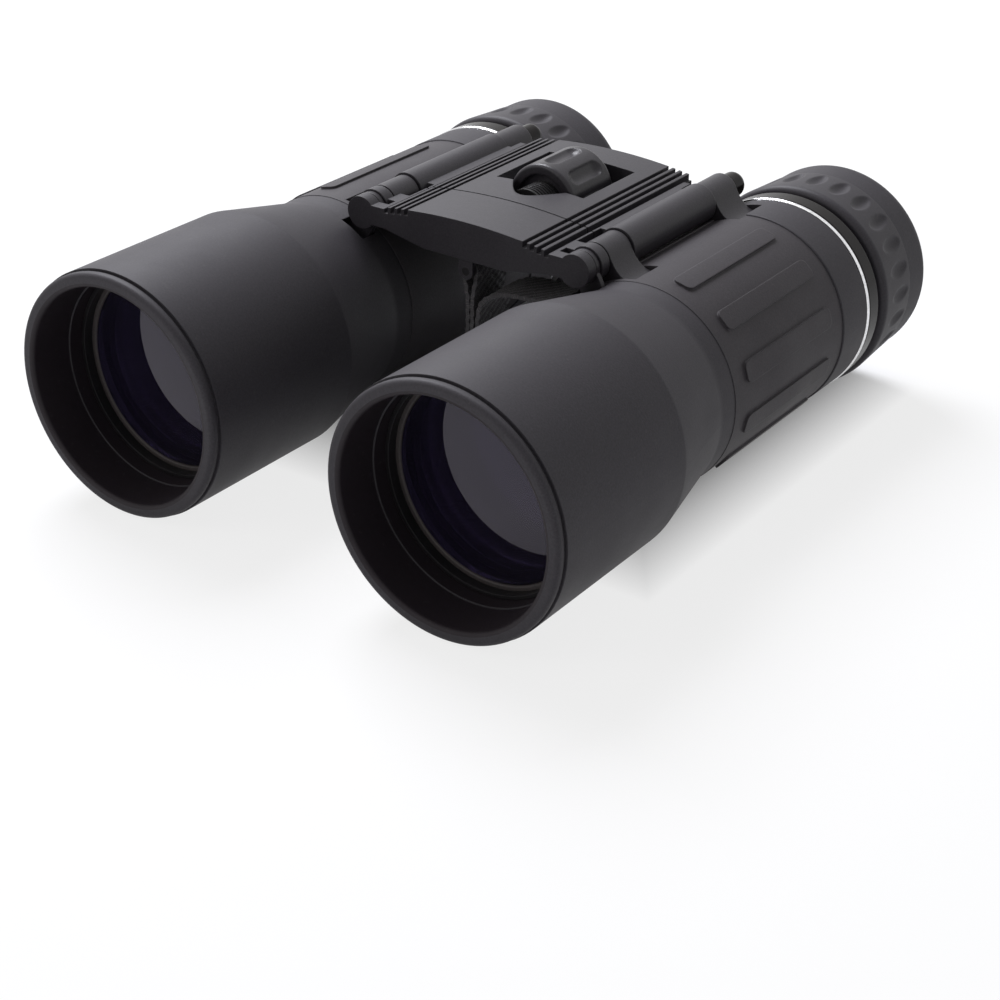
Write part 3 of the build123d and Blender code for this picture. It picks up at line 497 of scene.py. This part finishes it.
def makeDimpledRing(side, body):
    node = "turning_ring_" + side
    low, high = boxInMillimetres(node)
    end = boxInMillimetres("eyecup_" + side)[0].y
    front = end - dimpledRing["length"]
    step = front + dimpledRing["step"]
    seat = end - dimpledRing["rimLead"]
    work = lathe([
        (dimpledRing["bore"], low.y, 0), (dimpledRing["skirtRadius"], low.y, 0),
        (dimpledRing["skirtRadius"], front, 0),
        (dimpledRing["frontRadius"], front, dimpledRing["frontRound"]),
        (dimpledRing["rearRadius"], end, dimpledRing["rearRound"]),
        (dimpledRing["spigotRadius"], end, 0), (dimpledRing["spigotRadius"], high.y, 0),
        (dimpledRing["pocketRadius"], high.y, 0), (dimpledRing["pocketRadius"], seat, 0),
        (dimpledRing["heldBore"], seat, 0), (dimpledRing["heldBore"], step, 0),
        (dimpledRing["bore"], step, 0),
    ], dimpledRing["steps"], dimpledRing["rows"])

    # every dimple is the bite of a slim spindle that lies along the ring
    taper = (dimpledRing["frontRadius"] - dimpledRing["rearRadius"]) / dimpledRing["length"]
    depth = dimpledRing["dimpleDepth"]
    across = chordRadius(dimpledRing["dimpleWidth"], depth)
    along = chordRadius(dimpledRing["dimpleLength"], depth)
    middle = front + dimpledRing["setback"]
    surface = dimpledRing["frontRadius"] - taper * dimpledRing["setback"]
    innermost = dimpledRing["skirtRadius"] + dimpledRing["skirtClear"]
    pitch = 2 * pi / dimpledRing["dimples"]
    for vert in work.verts:
        reach = vert.co.y - middle
        radius = sqrt(vert.co.x ** 2 + vert.co.z ** 2)
        if abs(reach) > dimpledRing["biteReach"] or radius < innermost:
            continue
        turn = atan2(vert.co.x, vert.co.z)
        off = turn - round(turn / pitch) * pitch
        spindle = across - (along - sqrt(along ** 2 - reach ** 2))
        centre = surface + across - depth - taper * reach
        inside = spindle - sqrt(radius ** 2 + centre ** 2 - 2 * radius * centre * cos(off))
        share = 1 - runOut(inside, dimpledRing["soft"]) / radius
        vert.co.x *= share
        vert.co.z *= share
    toBarrel(work, side)
    smoothPiece(work)
    newPiece("DimpledRing_" + side, work, materials["ring_rubber"], body, [node])


hingePad = {"sleeveRadius": 20.2, "height": 0.33, "width": 4.0, "sink": 0.3, "frontGap": 0.2,
            "rearGap": 3.1, "steps": 10}


# the low rib on the rubber under the long hinge tube, which all but closes the gap there
def makeHingePad(side):
    rodLow, rodHigh = boxInMillimetres("hinge_rods")
    hingeX = rodHigh.x - (rodHigh.z - rodLow.z) / 2
    angle = atan2((rodLow.z + rodHigh.z) / 2 - axisZ, hingeX - barrelX)
    front = boxInMillimetres("main_bridge")[0].y + hingePad["frontGap"]
    rear = boxInMillimetres("rear_collar_" + side)[0].y - hingePad["rearGap"]
    half = hingePad["width"] / 2 / hingePad["sleeveRadius"]
    low = hingePad["sleeveRadius"] - hingePad["sink"]
    high = hingePad["sleeveRadius"] + hingePad["height"]
    work = bmesh.new()
    corners = [work.verts.new((r * cos(angle + half), y, r * sin(angle + half)))
               for r, y in ((low, front), (high, front), (high, rear), (low, rear))]
    face = work.faces.new(corners)
    bmesh.ops.spin(work, geom=[face], cent=(0, 0, 0), axis=(0, 1, 0), dvec=(0, 0, 0),
                   angle=2 * half, steps=hingePad["steps"])
    if side == "right":
        bmesh.ops.scale(work, verts=work.verts, vec=(-1, 1, 1))
    toBarrel(work, side)
    smoothPiece(work)
    newPiece("HingePad_" + side, work, materials["grip_rubber"], "barrel_" + side)


trimRing = {"bead": 0.72, "round": 0.3, "sink": 0.3, "slack": 0.01, "depth": 2, "steps": 256}


# the bright bead, with a dark flat on both sides of it
def makeTrimRing(side):
    node = "trim_ring_" + side
    low, high = boxInMillimetres(node)
    radius = (high.x - low.x) / 2
    flat = radius - trimRing["sink"]
    bore = radius - trimRing["depth"]
    front = (low.y + high.y - trimRing["bead"]) / 2
    rear = front + trimRing["bead"]
    work = lathe([(bore, low.y, 0), (flat, low.y, 0), (flat, front, 0),
                  (radius, front, trimRing["round"]), (radius, rear, trimRing["round"]),
                  (flat, rear, 0), (flat, high.y, 0), (bore, high.y, 0)], trimRing["steps"])
    for face in work.faces:
        middle = face.calc_center_median()
        face.material_index = int(hypot(middle.x, middle.z) < flat + trimRing["slack"])
    toBarrel(work, side)
    smoothPiece(work)
    piece = newPiece("TrimRing_" + side, work, materials["silver_trim"], "barrel_" + side,
                     [node])
    piece.data.materials.append(materials["gloss_black"])


lensRing = {"lead": 2.3, "bore": 18.9, "round": 0.45, "radius": 19.88, "steps": 192}


# the satin ring that holds the lens
def makeLensRing(side):
    node = "lens_ring_" + side
    low, high = boxInMillimetres(node)
    front = low.y - lensRing["lead"]
    work = lathe([(lensRing["bore"], front, lensRing["round"]), (lensRing["radius"], front, 0),
                  (lensRing["radius"], high.y, 0), (lensRing["bore"], high.y, 0)],
                 lensRing["steps"])
    toBarrel(work, side)
    smoothPiece(work)
    newPiece("LensRing_" + side, work, materials["satin_ring"], "cell_" + side,
             [node])


objective = {"curve": 200.0, "lead": 0.7, "faceRadius": 18.85, "edge": 0.25, "seatGap": 0.05,
             "rows": 14, "steps": 192}


# the cemented pair as one piece of glass, with a shoulder that sits behind the retaining ring
def makeObjectiveLens(side):
    node = "objective_lens_" + side
    low, high = boxInMillimetres(node)
    shoulder = boxInMillimetres("lens_ring_" + side)[1].y + objective["seatGap"]
    radius = (high.x - low.x) / 2
    curve = objective["curve"]
    front = low.y - objective["lead"]
    face = [objective["faceRadius"] * row / objective["rows"] for row in range(objective["rows"] + 1)]
    outline = [(r, front + curve - sqrt(curve ** 2 - r ** 2), 0) for r in face]
    outline[-1] = (*outline[-1][:2], objective["edge"])
    outline += [(face[-1], shoulder, 0), (radius, shoulder, 0), (radius, high.y, 0), (0, high.y, 0)]
    work = lathe(outline, objective["steps"])
    toBarrel(work, side)
    smoothPiece(work)
    newPiece("ObjectiveLens_" + side, work, materials["coated_glass"], "cell_" + side,
             [node])


strap = {
    "thickness": 1.0, "barGap": 0.1, "strandGap": 0.02, "joinLength": 7.0,
    "ends": 9,                          # ribs across the webbing
    "pick": 1.0, "relief": 0.09,        # length and height of a rib
    "facesPerRib": 4, "sharp": 60,
    "ahead": 0.0001,                    # share of the length over which its direction is taken
    "seam": 0.0001,                     # within which the two ends of a closed band join
    "stitches": 7, "stitchLength": 1.0, "stitchRadius": 0.16, "stitchRows": (7.5, 9.5),
}
strapTail = {
    # (x, height over the bar), from the stitches up and over to the left hinge
    "corners": ((1.3, -16.0), (1.35, -9.0), (3.0, -5.2), (8.0, -2.8), (15.0, -2.1), (20.5, -1.1)),
    "rows": 24,                         # between two corners
    "keep": 0.3,                        # a share of its reach
}


# a band along a path, which gives the (x, z) place at a share of its length
def weave(name, path, length, front, width, instead=()):
    picks = round(length / strap["pick"] / 2) * 2
    work = bmesh.new()
    chart = work.loops.layers.uv.new("weave")
    bmesh.ops.create_grid(work, x_segments=strap["ends"] * strap["facesPerRib"],
                          y_segments=picks * strap["facesPerRib"], size=0.5, calc_uvs=True)
    for face in work.faces:
        for corner in face.loops:
            corner[chart].uv = ((corner.vert.co.x + 0.5) * strap["ends"],
                                (corner.vert.co.y + 0.5) * picks)
    for vert in work.verts:
        across, share = vert.co.x + 0.5, vert.co.y + 0.5
        x, z = path(share)
        aheadX, aheadZ = path(share + strap["ahead"])
        way = Vector((aheadX - x, 0, aheadZ - z)).normalized()
        rib = cos(pi * across * strap["ends"]) * cos(pi * share * picks)
        out = strap["relief"] * (rib - 1)
        vert.co = (x - way.z * out, front + across * width, z + way.x * out)
    bmesh.ops.remove_doubles(work, verts=work.verts, dist=strap["seam"])
    bmesh.ops.recalc_face_normals(work, faces=work.faces)
    bmesh.ops.solidify(work, geom=work.faces[:], thickness=strap["thickness"] - 2 * strap["relief"])
    bmesh.ops.scale(work, verts=work.verts, vec=(mm, mm, mm))
    smoothPiece(work, strap["sharp"])
    return newPiece(name, work, materials["webbing"], "front_bridge",
                    instead)


# thread on both faces of the loop, in rows across it
def makeStitches(fold, front, width, barZ):
    work = bmesh.new()
    pitch = width / strap["stitches"]
    thin = strap["stitchRadius"]
    for below in strap["stitchRows"]:
        for index in range(strap["stitches"]):
            for side in (-1, 1):
                place = (side * fold, front + (index + 0.5) * pitch, barZ - below)
                shape = Matrix.Diagonal((thin, strap["stitchLength"] / 2, thin, 1))
                bmesh.ops.create_uvsphere(work, u_segments=8, v_segments=6, radius=1,
                                          matrix=Matrix.Translation(place) @ shape)
    bmesh.ops.scale(work, verts=work.verts, vec=(mm, mm, mm))
    smoothPiece(work, strap["sharp"])
    return newPiece("StrapStitches", work, materials["thread"], "front_bridge")


# a sewn loop round the bar, whose two strands lie together below it
def makeStrap():
    low, high = boxInMillimetres("strap_loop")
    barLow, barHigh = boxInMillimetres("strap_bar")
    barZ = (barLow.z + barHigh.z) / 2
    width = high.y - low.y
    fold = strap["thickness"] + strap["strandGap"]
    top = (barHigh.z - barLow.z) / 2 + strap["barGap"] + strap["thickness"]
    foot = low.z + fold + 2 * strap["relief"]
    height = barZ - foot
    length = pi * fold + 2 * height + pi * top

    # starts and ends at the fold at the bottom
    def onLoop(share):
        share %= 1
        way = min(share, 1 - share) * length
        side = -1 if share < 0.5 else 1
        if way < pi / 2 * fold:
            return side * fold * sin(way / fold), foot - fold * cos(way / fold)
        way -= pi / 2 * fold
        if way < height:
            rise = max(0, 1 - (height - way) / strap["joinLength"])
            return side * (fold + (top - fold) * rise * rise * (3 - 2 * rise)), foot + way
        way -= height
        return side * top * cos(way / top), barZ + top * sin(way / top)

    webbing = weave("StrapWebbing", onLoop, length, low.y, width, ["strap_loop"])
    stitches = makeStitches(fold, low.y, width, barZ)


# the loose end of the webbing, a smooth curve through its corners
def makeStrapTail():
    low, high = boxInMillimetres("strap_loop")
    barLow, barHigh = boxInMillimetres("strap_bar")
    barZ = (barLow.z + barHigh.z) / 2
    width = high.y - low.y
    corners = [Vector((x, 0, barZ + z)) for x, z in strapTail["corners"]]
    padded = [2 * corners[0] - corners[1], *corners, 2 * corners[-1] - corners[-2]]
    places = []
    for before, first, second, after in zip(padded, padded[1:], padded[2:], padded[3:]):
        for step in range(strapTail["rows"]):
            way = step / strapTail["rows"]
            places.append(0.5 * (2 * first + (second - before) * way
                                 + (2 * before - 5 * first + 4 * second - after) * way ** 2
                                 + (3 * first - before - 3 * second + after) * way ** 3))
    places += [corners[-1], 2 * corners[-1] - places[-1]]
    run = [0.0]                         # length up to each place
    for first, second in zip(places, places[1:]):
        run.append(run[-1] + (second - first).length)
    length = run[-2]

    def onTail(share):
        way = share * length
        index = min(bisect(run, way), len(run) - 1) - 1
        share = (way - run[index]) / (run[index + 1] - run[index])
        place = places[index].lerp(places[index + 1], share)
        return place.x, place.z

    tail = weave("StrapTail", onTail, length, low.y, width)
    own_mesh(tail)


bpy.context.scene.view_settings.view_transform = "Standard"
makeCamera()
makeWorld()
makeLamp("Top softbox", studio["top"])
makeLamp("Front softbox", studio["front"])
makeFloor()
print("camera and studio made")

materials = {slot: moulded(slot, look) for slot, look in looks.items()}
materials.update({slot: glassy(slot, look) for slot, look in glasses.items()})
materials["webbing"] = woven("webbing", webbingLook)
print("materials made")

makeStrap()
makeStrapTail()
print("strap made")

for side in sides:
    makeDimpledRing(side, "barrel_left" if side == "left" else "dioptre_ring")
    makeHingePad(side)
    makeTrimRing(side)
    makeLensRing(side)
    makeObjectiveLens(side)
print("rings, hinge pads and lenses made")

for name, node in nodes.items():
    node.data.materials.clear()
    node.data.materials.append(materials[finishOfNode.get(name, slotOfNode[name])])
print("finishes put on the other nodes")
